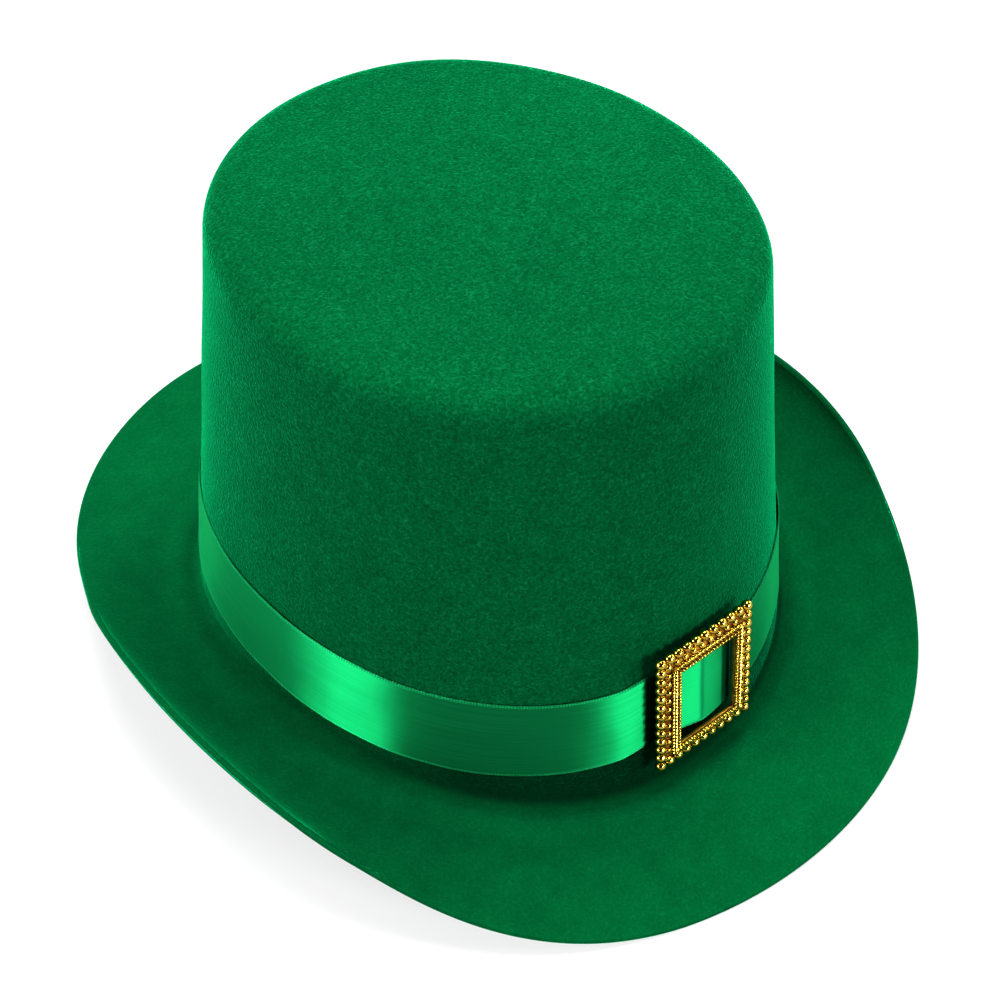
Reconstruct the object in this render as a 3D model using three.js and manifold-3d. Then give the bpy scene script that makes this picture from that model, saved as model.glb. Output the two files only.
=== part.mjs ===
// A felt top hat with a satin band and a beaded metal buckle, standing on its brim.
//
// Sizes are in millimetres. +Z is up and the buckle faces -Y. The origin is on the surface that
// the hat stands on, under the middle of the brim's outline. An angle of 0 degrees points to +X,
// -90 degrees to the front and 90 degrees to the back.

import * as THREE from "three";
import { mergeVertices } from "three/addons/utils/BufferGeometryUtils.js";
import Module from "manifold-3d";

const wasm = await Module();
wasm.setup();

// The felt: one blocked piece, crown and brim together.
const FELT_THICKNESS = 2.0;
const HAT_HEIGHT = 167.0;
const EDGE_ROUNDING = 0.8;
// What lies on the crown stands off it by this much.
const SEAM_GAP = 0.3;

// The crown is a slightly squared oval that narrows towards the tip. power 2 is an ellipse.
const CROWN_FOOT = { halfWidth: 93.6, halfLength: 100.1, centreY: -6.8, power: 2.14 };
const CROWN_TOP = { halfWidth: 78.2, halfLength: 89.5, centreY: -8.7, power: 2.05 };
const SHOULDER_RADIUS = 7.2;
const TIP_DOME = 1.0;

// The crease is where the crown turns into the brim. It dips at the front and the back.
const CREASE = { height: 15.4, dip: 8.4, fillet: 3.0 };

// The brim's edge, seen from above, is an egg with its wide end to the front.
const BRIM_EDGE = { halfWidth: 128.9, cornerPull: 1.5, halfLength: 157.0, eggShift: 8.2 };
// Its edge rests on the surface at the front and the back, and rolls up at both sides.
const BRIM_ROLL = { mean: 17.1, sideLift: 20.0, flatness: 4.5, frontSag: 1.1 };
// The brim is level where its edge lies this far above its crease, and fully rolled where it
// lies this much higher.
const ROLL_RISE = { level: -4.0, full: 16.0 };

// The satin band, and how it climbs a little towards the back and the sides.
const BAND = { width: 29.8, thickness: 1.0, middle: 43.2, backClimb: 3.4, sideClimb: 2.3 };
// In the buckle's window the band rides over the centre bar and is drawn up into the frame.
const BAND_CREST = { lift: 2.8, left: -2.0, right: 3.3, leftRun: 18.0, rightRun: 9.2 };
const BAND_RISE = { height: 3.4, flat: 12.5, run: 17.0 };

// The buckle: a rectangular frame with a bead border, and a flat bar behind the band.
const BUCKLE = {
  windowWidth: 23.4,
  windowHeight: 32.0,
  bar: 8.4,
  edgeInset: 1.1,
  chamfer: 1.0,
  centreHeight: 41.4,
};
const BUCKLE_DEPTH = { back: 2.35, rim: 6.2, crest: 6.7, flank: 4.9, border: 3.7 };
const BEAD = { radius: 1.8, depth: 4.15, across: 11, down: 13 };
const CENTRE_BAR = { width: 4.0, back: 1.7, front: 2.8, overlap: 4.0 };

// How finely the round shapes are divided.
const FELT_SEGMENTS = 72;
const TIP_RINGS = 3;
const SHOULDER_STEPS = 4;
const WALL_STEPS = 6;
const FILLET_STEPS = 3;
const BRIM_STEPS = 8;
const BAND_STEP = 5;
const BAND_FINE_STEP = 1.25;
const BAND_FINE_REACH = 20;
const BEAD_SIDES = 8;
const BEAD_RINGS = 6;
const MERGE_DISTANCE = 1e-4;

const FRONT = -90;
const radians = THREE.MathUtils.degToRad;

// Rises from 0 to 1 along half a cosine wave as value goes from start to end.
function ease(value, start, end) {
  const part = THREE.MathUtils.clamp((value - start) / (end - start), 0, 1);
  return 0.5 - 0.5 * Math.cos(Math.PI * part);
}

// A sine or cosine raised to a power, with its sign kept.
function signedPower(value, power) {
  return Math.sign(value) * Math.abs(value) ** power;
}

// The crown's oval at one height.
function crownSection(height) {
  const part = height / HAT_HEIGHT;
  const mix = (key) => THREE.MathUtils.lerp(CROWN_FOOT[key], CROWN_TOP[key], part);
  return {
    halfWidth: mix("halfWidth"),
    halfLength: mix("halfLength"),
    centreY: mix("centreY"),
    power: mix("power"),
  };
}

// A point on the crown's outer face, moved out level by out.
function crownPoint(angle, height, out = 0) {
  const { halfWidth, halfLength, centreY, power } = crownSection(height);
  const c = Math.cos(radians(angle));
  const s = Math.sin(radians(angle));
  const x = halfWidth * signedPower(c, 2 / power);
  const y = halfLength * signedPower(s, 2 / power);
  const normal = new THREE.Vector3(
    signedPower(c, 2 - 2 / power) / halfWidth,
    signedPower(s, 2 - 2 / power) / halfLength,
    0,
  ).normalize();
  return new THREE.Vector3(x, centreY + y, height).addScaledVector(normal, out);
}

function creaseHeight(angle) {
  return CREASE.height + CREASE.dip * Math.cos(2 * radians(angle));
}

// The upper corner of the brim's edge.
function brimEdge(angle) {
  const t = radians(angle);
  const cosine = Math.cos(t);
  return new THREE.Vector3(
    BRIM_EDGE.halfWidth * cosine - BRIM_EDGE.cornerPull * Math.cos(3 * t),
    BRIM_EDGE.halfLength * Math.sin(t) - 2 * BRIM_EDGE.eggShift * cosine * cosine,
    BRIM_ROLL.mean +
      BRIM_ROLL.sideLift * Math.cos(2 * t) +
      BRIM_ROLL.flatness * Math.cos(4 * t) +
      BRIM_ROLL.frontSag * (Math.sin(t) + Math.sin(3 * t)),
  );
}

// A point on the brim's upper face. part runs from 0 at the crease to 1 at the edge.
// A level stretch eases down to the surface, and a rolled one sweeps up like a quarter circle.
function brimPoint(angle, part) {
  const start = crownPoint(angle, creaseHeight(angle), CREASE.fillet);
  const end = brimEdge(angle);
  const roll = ease(end.z - start.z, ROLL_RISE.level, ROLL_RISE.full);
  const sweep = (Math.PI / 2) * part;
  const reach = THREE.MathUtils.lerp(part, Math.sin(sweep), roll);
  const climb = THREE.MathUtils.lerp(ease(part, 0, 1), 1 - Math.cos(sweep), roll);
  return new THREE.Vector3(
    THREE.MathUtils.lerp(start.x, end.x, reach),
    THREE.MathUtils.lerp(start.y, end.y, reach),
    THREE.MathUtils.lerp(start.z, end.z, climb),
  );
}

// The felt's outer face along one angle: tip, shoulder, side, fillet and brim.
function feltColumn(angle) {
  const points = [];
  const shoulder = HAT_HEIGHT - SHOULDER_RADIUS;
  const middle = new THREE.Vector3(0, CROWN_TOP.centreY, HAT_HEIGHT);
  const rim = crownPoint(angle, HAT_HEIGHT, -SHOULDER_RADIUS);
  for (let i = 1; i < TIP_RINGS; i++) {
    const part = i / TIP_RINGS;
    const point = new THREE.Vector3().lerpVectors(middle, rim, part);
    point.z = HAT_HEIGHT + TIP_DOME * (1 - part * part);
    points.push(point);
  }
  for (let i = 0; i <= SHOULDER_STEPS; i++) {
    const turn = (Math.PI / 2) * (i / SHOULDER_STEPS);
    const height = shoulder + SHOULDER_RADIUS * Math.cos(turn);
    points.push(crownPoint(angle, height, SHOULDER_RADIUS * (Math.sin(turn) - 1)));
  }
  const foot = creaseHeight(angle) + CREASE.fillet;
  for (let i = 1; i <= WALL_STEPS; i++)
    points.push(crownPoint(angle, THREE.MathUtils.lerp(shoulder, foot, i / WALL_STEPS)));
  for (let i = 1; i < FILLET_STEPS; i++) {
    const turn = (Math.PI / 2) * (i / FILLET_STEPS);
    const height = foot - CREASE.fillet * Math.sin(turn);
    points.push(crownPoint(angle, height, CREASE.fillet * (1 - Math.cos(turn))));
  }
  for (let i = 0; i <= BRIM_STEPS; i++) points.push(brimPoint(angle, i / BRIM_STEPS));
  return points;
}

// Joins rings of points into one closed surface. Poles close both ends, or the last ring meets
// the first one where none are given.
function skinRings(rings, poles = []) {
  const count = rings[0].length;
  const positions = [...rings.flat(), ...poles].flatMap((point) => point.toArray());
  const corner = (ring, i) => (ring % rings.length) * count + (i % count);
  const index = [];
  const bands = poles.length ? rings.length - 1 : rings.length;
  for (let ring = 0; ring < bands; ring++)
    for (let i = 0; i < count; i++) {
      const [a, b] = [corner(ring, i), corner(ring, i + 1)];
      const [c, d] = [corner(ring + 1, i + 1), corner(ring + 1, i)];
      index.push(a, d, b, b, d, c);
    }
  if (poles.length) {
    const first = rings.length * count;
    for (let i = 0; i < count; i++) {
      index.push(first, corner(0, i), corner(0, i + 1));
      index.push(first + 1, corner(rings.length - 1, i + 1), corner(rings.length - 1, i));
    }
  }
  const geometry = new THREE.BufferGeometry();
  geometry.setAttribute("position", new THREE.Float32BufferAttribute(positions, 3));
  geometry.setIndex(index);
  return geometry;
}

// The outward direction at each point of the felt's face, from its neighbours.
function faceNormals(rings) {
  const count = rings[0].length;
  return rings.map((ring, r) =>
    ring.map((_, i) => {
      const before = rings[Math.max(r - 1, 0)][i];
      const after = rings[Math.min(r + 1, rings.length - 1)][i];
      const along = new THREE.Vector3().subVectors(after, before);
      const round = new THREE.Vector3().subVectors(
        ring[(i + 1) % count],
        ring[(i + count - 1) % count],
      );
      return along.cross(round).normalize();
    }),
  );
}

// Crown and brim in one wall of even thickness, open below, flat where it rests.
function feltBody() {
  const columns = [];
  for (let i = 0; i < FELT_SEGMENTS; i++) columns.push(feltColumn((360 * i) / FELT_SEGMENTS));
  const outer = columns[0].map((_, ring) => columns.map((column) => column[ring]));
  const normals = faceNormals(outer);
  const inner = outer.map((ring, r) =>
    ring.map((point, i) => {
      const moved = point.clone().addScaledVector(normals[r][i], -FELT_THICKNESS);
      moved.z = Math.max(moved.z, 0);
      return moved;
    }),
  );
  const last = outer.length - 1;
  const edge = outer[last].map((point, i) => {
    const outward = new THREE.Vector3().subVectors(point, outer[last - 1][i]).normalize();
    return new THREE.Vector3()
      .addVectors(point, inner[last][i])
      .multiplyScalar(0.5)
      .addScaledVector(outward, EDGE_ROUNDING);
  });
  const tip = new THREE.Vector3(0, CROWN_TOP.centreY, HAT_HEIGHT + TIP_DOME);
  const ceiling = tip.clone().setZ(tip.z - FELT_THICKNESS);
  return skinRings([...outer, edge, ...inner.reverse()], [tip, ceiling]);
}

// How much the band stands off the crown at x, from 0 to 1, where it rides over the centre bar.
function crestShare(x) {
  const { left, right, leftRun, rightRun } = BAND_CREST;
  return ease(x, left - leftRun, left) * (1 - ease(x, right, right + rightRun));
}

// The band's height limits and its distance from the crown at one angle.
function bandSection(angle) {
  const t = radians(angle);
  const middle = BAND.middle + BAND.backClimb * Math.sin(t) + BAND.sideClimb * Math.cos(2 * t);
  const { x, y } = crownPoint(angle, middle);
  const front = y < 0 ? 1 : 0;
  const away = ease(Math.abs(x), BAND_RISE.flat, BAND_RISE.flat + BAND_RISE.run);
  const drawnUp = front * BAND_RISE.height * (1 - away);
  return {
    low: middle - BAND.width / 2 + drawnUp,
    high: middle + BAND.width / 2 + drawnUp,
    out: SEAM_GAP + front * BAND_CREST.lift * crestShare(x),
  };
}

// Angles all round, closer together behind the buckle.
function bandAngles() {
  const [start, end] = [FRONT - BAND_FINE_REACH, FRONT + BAND_FINE_REACH];
  const angles = [];
  for (let angle = start; angle < end; angle += BAND_FINE_STEP) angles.push(angle);
  for (let angle = end; angle < start + 360; angle += BAND_STEP) angles.push(angle);
  return angles;
}

// A closed ribbon round the crown.
function satinBand() {
  const angles = bandAngles();
  const face = (edge, thickness) =>
    angles.map((angle) => {
      const section = bandSection(angle);
      return crownPoint(angle, section[edge], section.out + thickness);
    });
  const lowIn = face("low", 0);
  const lowOut = face("low", BAND.thickness);
  const highIn = face("high", 0);
  const highOut = face("high", BAND.thickness);
  return skinRings([highOut, lowOut, lowIn, highIn]);
}

// A mitred rectangular frame: each corner of its section is a rectangle at one depth.
function mitredFrame(width, height, section) {
  const signs = [
    [1, 1],
    [-1, 1],
    [-1, -1],
    [1, -1],
  ];
  const rings = section.map(([out, depth]) =>
    signs.map(([sx, sz]) => new THREE.Vector3(sx * (width / 2 + out), -depth, sz * (height / 2 + out))),
  );
  return skinRings(rings);
}

// Middles of the border's beads, in the frame's own plane.
function beadCentres() {
  const halfWidth = BUCKLE.windowWidth / 2 + BUCKLE.bar - BEAD.radius;
  const halfHeight = BUCKLE.windowHeight / 2 + BUCKLE.bar - BEAD.radius;
  const centres = [];
  for (let i = 0; i < BEAD.across; i++) {
    const x = THREE.MathUtils.lerp(-halfWidth, halfWidth, i / (BEAD.across - 1));
    centres.push([x, halfHeight], [x, -halfHeight]);
  }
  for (let i = 1; i < BEAD.down - 1; i++) {
    const z = THREE.MathUtils.lerp(-halfHeight, halfHeight, i / (BEAD.down - 1));
    centres.push([-halfWidth, z], [halfWidth, z]);
  }
  return centres;
}

// A three.js geometry as a solid that can be joined to others.
function solid(geometry) {
  const bare = geometry.clone();
  bare.deleteAttribute("normal");
  bare.deleteAttribute("uv");
  const merged = mergeVertices(bare, MERGE_DISTANCE);
  return new wasm.Manifold(
    new wasm.Mesh({
      numProp: 3,
      vertProperties: new Float32Array(merged.attributes.position.array),
      triVerts: new Uint32Array(merged.index.array),
    }),
  );
}

// A joined solid as a three.js geometry.
function geometryOf(made) {
  const mesh = made.getMesh();
  const geometry = new THREE.BufferGeometry();
  geometry.setAttribute("position", new THREE.BufferAttribute(mesh.vertProperties, 3));
  geometry.setIndex(new THREE.BufferAttribute(mesh.triVerts, 1));
  return geometry;
}

// The buckle in its own frame: X across, Z up, and -Y out from the crown.
function buckleFrame() {
  const { back, rim, crest, flank, border } = BUCKLE_DEPTH;
  const edge = BUCKLE.bar - BUCKLE.edgeInset;
  const section = [
    [0, back],
    [0, rim],
    [BUCKLE.chamfer, crest],
    [edge - BUCKLE.chamfer, flank],
    [edge, border],
    [edge, back],
  ];
  let frame = solid(mitredFrame(BUCKLE.windowWidth, BUCKLE.windowHeight, section));
  for (const [x, z] of beadCentres()) {
    const bead = new THREE.SphereGeometry(BEAD.radius, BEAD_SIDES, BEAD_RINGS);
    frame = frame.add(solid(bead.translate(x, -BEAD.depth, z)));
  }
  const thickness = CENTRE_BAR.front - CENTRE_BAR.back;
  const length = BUCKLE.windowHeight + 2 * CENTRE_BAR.overlap;
  const bar = new THREE.BoxGeometry(CENTRE_BAR.width, thickness, length);
  bar.translate(0, -(CENTRE_BAR.back + CENTRE_BAR.front) / 2, 0);
  return geometryOf(frame.add(solid(bar)));
}

const felt = new THREE.MeshStandardMaterial({ color: 0x026b36, roughness: 0.95, metalness: 0 });
const satin = new THREE.MeshStandardMaterial({ color: 0x08b25c, roughness: 0.35, metalness: 0 });
const gilt = new THREE.MeshStandardMaterial({ color: 0xd8a62c, roughness: 0.25, metalness: 1 });

function named(name, geometry, material) {
  const mesh = new THREE.Mesh(geometry, material);
  mesh.name = name;
  return mesh;
}

// The buckle lies along the front of the crown, which leans back as it rises.
function placeBuckle(mesh) {
  const seat = crownPoint(FRONT, BUCKLE.centreHeight);
  const above = crownPoint(FRONT, BUCKLE.centreHeight + 1);
  mesh.position.copy(seat);
  mesh.rotation.x = -Math.atan(above.y - seat.y);
  return mesh;
}

const hat = new THREE.Group();
hat.add(named("felt_body", feltBody(), felt));
hat.add(named("ribbon_band", satinBand(), satin));
hat.add(placeBuckle(named("buckle_frame", buckleFrame(), gilt)));

export default hat;
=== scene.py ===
"""A green felt top hat with a satin band and a beaded gilt buckle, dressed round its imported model.

Lengths are in metres. +Z is up and the buckle faces -Y. The origin is on the surface that the hat
stands on. Angles run round the crown in radians: 0 points to +X and -pi / 2 to the front.
"""

import logging
import math
from dataclasses import dataclass
from enum import Enum
from typing import Callable, Iterable

import bmesh
import bpy
from mathutils import Matrix, Vector, noise


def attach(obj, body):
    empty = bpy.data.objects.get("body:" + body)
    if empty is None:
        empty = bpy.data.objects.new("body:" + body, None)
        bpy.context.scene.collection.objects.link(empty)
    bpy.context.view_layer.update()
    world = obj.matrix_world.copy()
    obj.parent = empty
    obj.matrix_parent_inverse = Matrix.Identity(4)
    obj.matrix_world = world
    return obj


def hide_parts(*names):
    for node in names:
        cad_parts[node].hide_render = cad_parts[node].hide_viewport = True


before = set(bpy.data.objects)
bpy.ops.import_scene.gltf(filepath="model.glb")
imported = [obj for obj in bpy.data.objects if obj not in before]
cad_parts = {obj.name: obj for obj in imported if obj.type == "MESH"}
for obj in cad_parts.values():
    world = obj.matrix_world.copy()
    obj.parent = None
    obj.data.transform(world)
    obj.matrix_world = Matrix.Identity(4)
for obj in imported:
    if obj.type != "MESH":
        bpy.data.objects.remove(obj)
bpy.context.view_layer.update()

LOG = logging.getLogger("hat")
FRONT = -math.pi / 2
MERGE_DISTANCE = 1e-7

Colour = tuple[float, float, float, float]
WHITE: Colour = (1.0, 1.0, 1.0, 1.0)


class Slot(Enum):
    """The record's material slots."""

    FELT = "green_felt"
    SATIN = "green_satin"
    GILT = "gilt_metal"


class Zone(Enum):
    """The stretches of a felt column, from the middle of the tip out to the brim's edge."""

    TIP = 16
    SHOULDER = 12
    WALL = 48
    FILLET = 8
    BRIM = 46


def ease(value: float, start: float, end: float) -> float:
    """Rises from 0 to 1 along half a cosine wave as value goes from start to end."""
    part = min(max((value - start) / (end - start), 0.0), 1.0)
    return 0.5 - 0.5 * math.cos(math.pi * part)


def mix(first: float, second: float, part: float) -> float:
    """The value that lies part of the way from first to second."""
    return first + (second - first) * part


def signed_power(value: float, power: float) -> float:
    """A sine or cosine raised to a power, with its sign kept."""
    return math.copysign(abs(value) ** power, value)


@dataclass(frozen=True)
class Oval:
    """A level section of the crown, a slightly squared ellipse."""

    half_width: float
    half_length: float
    centre_y: float
    power: float


@dataclass(frozen=True)
class HatShape:
    """The true form of the blocked felt, which every other piece is measured from."""

    height: float = 0.167
    foot: Oval = Oval(0.0936, 0.1001, -0.0068, 2.14)
    top: Oval = Oval(0.0782, 0.0895, -0.0087, 2.05)
    shoulder_radius: float = 0.0072
    tip_dome: float = 0.001
    crease: float = 0.0154
    crease_dip: float = 0.0084
    fillet: float = 0.003
    brim_half_width: float = 0.1289
    brim_corner_pull: float = 0.0015
    brim_half_length: float = 0.157
    brim_egg_shift: float = 0.0082
    roll_mean: float = 0.0171
    roll_side_lift: float = 0.02
    roll_flatness: float = 0.0045
    roll_front_sag: float = 0.0011
    level_rise: float = -0.004
    rolled_rise: float = 0.016

    def section(self, height: float) -> Oval:
        """The crown's level section.

        Args:
            height: how far it lies above the ground.

        Returns:
            The oval between the foot's and the top's.
        """
        part = height / self.height
        return Oval(
            mix(self.foot.half_width, self.top.half_width, part),
            mix(self.foot.half_length, self.top.half_length, part),
            mix(self.foot.centre_y, self.top.centre_y, part),
            mix(self.foot.power, self.top.power, part),
        )

    def crown_point(self, angle: float, height: float, out: float = 0.0) -> Vector:
        """A point on the crown's face.

        Args:
            angle: where it lies round the crown.
            height: how far it lies above the ground.
            out: how far it is moved out, level and square to the face.

        Returns:
            The point.
        """
        oval = self.section(height)
        cosine = math.cos(angle)
        sine = math.sin(angle)
        power = oval.power
        normal = Vector(
            (
                signed_power(cosine, 2 - 2 / power) / oval.half_width,
                signed_power(sine, 2 - 2 / power) / oval.half_length,
                0.0,
            )
        ).normalized()
        x = oval.half_width * signed_power(cosine, 2 / power)
        y = oval.centre_y + oval.half_length * signed_power(sine, 2 / power)
        return Vector((x, y, height)) + normal * out

    def crease_height(self, angle: float) -> float:
        """How high the crown turns into the brim. It dips at the front and the back."""
        return self.crease + self.crease_dip * math.cos(2 * angle)

    def brim_edge(self, angle: float) -> Vector:
        """The upper corner of the brim's edge: an egg, rolled up at both sides.

        Args:
            angle: where it lies round the crown.

        Returns:
            The point.
        """
        cosine = math.cos(angle)
        sine = math.sin(angle)
        x = self.brim_half_width * cosine - self.brim_corner_pull * math.cos(3 * angle)
        y = self.brim_half_length * sine - 2 * self.brim_egg_shift * cosine * cosine
        z = self.roll_mean + self.roll_side_lift * math.cos(2 * angle)
        z += self.roll_flatness * math.cos(4 * angle)
        z += self.roll_front_sag * (sine + math.sin(3 * angle))
        return Vector((x, y, z))

    def brim_point(self, angle: float, part: float) -> Vector:
        """A point on the brim's upper face.

        A level stretch eases down to the ground, and a rolled one sweeps up like a quarter circle.

        Args:
            angle: where it lies round the crown.
            part: 0 at the crease and 1 at the edge.

        Returns:
            The point.
        """
        start = self.crown_point(angle, self.crease_height(angle), self.fillet)
        end = self.brim_edge(angle)
        roll = ease(end.z - start.z, self.level_rise, self.rolled_rise)
        sweep = math.pi / 2 * part
        reach = mix(part, math.sin(sweep), roll)
        climb = mix(ease(part, 0, 1), 1 - math.cos(sweep), roll)
        return Vector(
            (mix(start.x, end.x, reach), mix(start.y, end.y, reach), mix(start.z, end.z, climb))
        )

    def tip_point(self, angle: float, part: float) -> Vector:
        """A point on the slightly domed tip.

        Args:
            angle: where it lies round the crown.
            part: 0 at the tip's middle and 1 at its rim.

        Returns:
            The point.
        """
        middle = Vector((0.0, self.top.centre_y, self.height))
        rim = self.crown_point(angle, self.height, -self.shoulder_radius)
        point = middle.lerp(rim, part)
        point.z += self.tip_dome * (1 - part * part)
        return point

    def column(self, angle: float) -> list[Vector]:
        """The felt's outer face along one angle.

        Args:
            angle: where the column lies round the crown.

        Returns:
            The points, from the tip's middle to the brim's edge.
        """
        points = [self.tip_point(angle, i / Zone.TIP.value) for i in range(Zone.TIP.value)]
        shoulder = self.height - self.shoulder_radius
        for i in range(Zone.SHOULDER.value + 1):
            turn = math.pi / 2 * i / Zone.SHOULDER.value
            height = shoulder + self.shoulder_radius * math.cos(turn)
            points.append(self.crown_point(angle, height, self.shoulder_radius * (math.sin(turn) - 1)))
        wall_foot = self.crease_height(angle) + self.fillet
        for i in range(1, Zone.WALL.value + 1):
            points.append(self.crown_point(angle, mix(shoulder, wall_foot, i / Zone.WALL.value)))
        for i in range(1, Zone.FILLET.value):
            turn = math.pi / 2 * i / Zone.FILLET.value
            height = wall_foot - self.fillet * math.sin(turn)
            points.append(self.crown_point(angle, height, self.fillet * (1 - math.cos(turn))))
        for i in range(Zone.BRIM.value + 1):
            points.append(self.brim_point(angle, i / Zone.BRIM.value))
        return points


@dataclass(frozen=True)
class Number:
    """A number that varies over a surface. Python's operators on it add Math nodes."""

    graph: "Graph"
    socket: bpy.types.NodeSocket

    def __add__(self, other: "Number | float") -> "Number":
        """self + other."""
        return self.graph.math("ADD", self, other)

    __radd__ = __add__

    def __sub__(self, other: "Number | float") -> "Number":
        """self - other."""
        return self.graph.math("SUBTRACT", self, other)

    def __rsub__(self, other: float) -> "Number":
        """other - self."""
        return self.graph.math("SUBTRACT", other, self)

    def __mul__(self, other: "Number | float") -> "Number":
        """self * other."""
        return self.graph.math("MULTIPLY", self, other)

    __rmul__ = __mul__

    def __truediv__(self, other: "Number | float") -> "Number":
        """self / other."""
        return self.graph.math("DIVIDE", self, other)

    def __rtruediv__(self, other: float) -> "Number":
        """other / self."""
        return self.graph.math("DIVIDE", other, self)

    def __abs__(self) -> "Number":
        """The number without its sign."""
        return self.graph.math("ABSOLUTE", self)

    def clamped(self) -> "Number":
        """The number held between 0 and 1."""
        return self.graph.math("MAXIMUM", self.graph.math("MINIMUM", self, 1.0), 0.0)

    def smooth(self, low: float, high: float) -> "Number":
        """A soft step.

        Args:
            low: where the step starts to rise from 0.
            high: where it reaches 1.

        Returns:
            The step's height.
        """
        settings = {"interpolation_type": "SMOOTHSTEP"}
        inputs = {"Value": self, "From Min": low, "From Max": high}
        node = self.graph.node("ShaderNodeMapRange", settings, inputs)
        return Number(self.graph, node.outputs["Result"])


class Graph:
    """The node tree of one material, or of the world."""

    def __init__(self, owner: "bpy.types.Material | bpy.types.World") -> None:
        """Starts with an empty node tree.

        Args:
            owner: the new material or world that the tree belongs to.
        """
        owner.use_nodes = True
        self.owner = owner
        self.tree = owner.node_tree
        self.tree.nodes.clear()

    def node(
        self, kind: str, settings: dict | None = None, inputs: dict | None = None
    ) -> bpy.types.Node:
        """Adds one node.

        Args:
            kind: Blender's name for the node's type.
            settings: its own settings, which are set first.
            inputs: values, sockets or Numbers by the socket's name or place.

        Returns:
            The node.
        """
        node = self.tree.nodes.new(kind)
        for name, value in (settings or {}).items():
            setattr(node, name, value)
        for key, value in (inputs or {}).items():
            if isinstance(value, Number):
                self.tree.links.new(value.socket, node.inputs[key])
            elif isinstance(value, bpy.types.NodeSocket):
                self.tree.links.new(value, node.inputs[key])
            else:
                node.inputs[key].default_value = value
        return node

    def math(self, operation: str, *values: "Number | float") -> Number:
        """Adds one Math node on one or two values."""
        inputs = dict(enumerate(values))
        return Number(self, self.node("ShaderNodeMath", {"operation": operation}, inputs).outputs[0])

    def place(self) -> bpy.types.NodeSocket:
        """The piece's own Object coordinates."""
        return self.node("ShaderNodeTexCoord").outputs["Object"]

    def moved(
        self,
        where: bpy.types.NodeSocket,
        scale: Iterable[float] = (1.0, 1.0, 1.0),
        shift: Iterable[float] = (0.0, 0.0, 0.0),
    ) -> bpy.types.NodeSocket:
        """Coordinates scaled and shifted by a Mapping node."""
        inputs = {"Vector": where, "Scale": scale, "Location": shift}
        return self.node("ShaderNodeMapping", None, inputs).outputs["Vector"]

    def noise(
        self,
        where: bpy.types.NodeSocket,
        scale: float,
        detail: float = 2.0,
        distortion: float = 0.0,
    ) -> Number:
        """Smooth noise from 0 to 1, about scale bumps to the unit of its coordinates."""
        inputs = {"Vector": where, "Scale": scale, "Detail": detail, "Distortion": distortion}
        return Number(self, self.node("ShaderNodeTexNoise", None, inputs).outputs[0])

    def attribute(self, name: str) -> Number:
        """A number that is painted on the piece's points."""
        return Number(self, self.node("ShaderNodeAttribute", {"attribute_name": name}).outputs["Fac"])

    def blend(
        self, factor: Number, low: "Colour | bpy.types.NodeSocket", high: Colour
    ) -> bpy.types.NodeSocket:
        """A colour that goes from low to high as factor goes from 0 to 1."""
        inputs = {0: factor, 6: low, 7: high}
        return self.node("ShaderNodeMix", {"data_type": "RGBA"}, inputs).outputs[2]

    def shade(self, colour: bpy.types.NodeSocket, factor: Number) -> bpy.types.NodeSocket:
        """A colour made lighter or darker by a number."""
        inputs = {0: colour, "Scale": factor}
        return self.node("ShaderNodeVectorMath", {"operation": "SCALE"}, inputs).outputs[0]

    def bump(self, height: Number, distance: float, strength: float) -> bpy.types.NodeSocket:
        """A normal that follows a height of 0 to 1 over distance."""
        inputs = {"Height": height, "Distance": distance, "Strength": strength}
        return self.node("ShaderNodeBump", None, inputs).outputs["Normal"]

    def finish(self, inputs: dict) -> bpy.types.Material:
        """Closes a material's tree.

        Args:
            inputs: values, sockets or Numbers by the Principled shader's socket.

        Returns:
            The material.
        """
        shader = self.node("ShaderNodeBsdfPrincipled", None, inputs)
        self.node("ShaderNodeOutputMaterial", None, {"Surface": shader.outputs[0]})
        return self.owner


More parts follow.
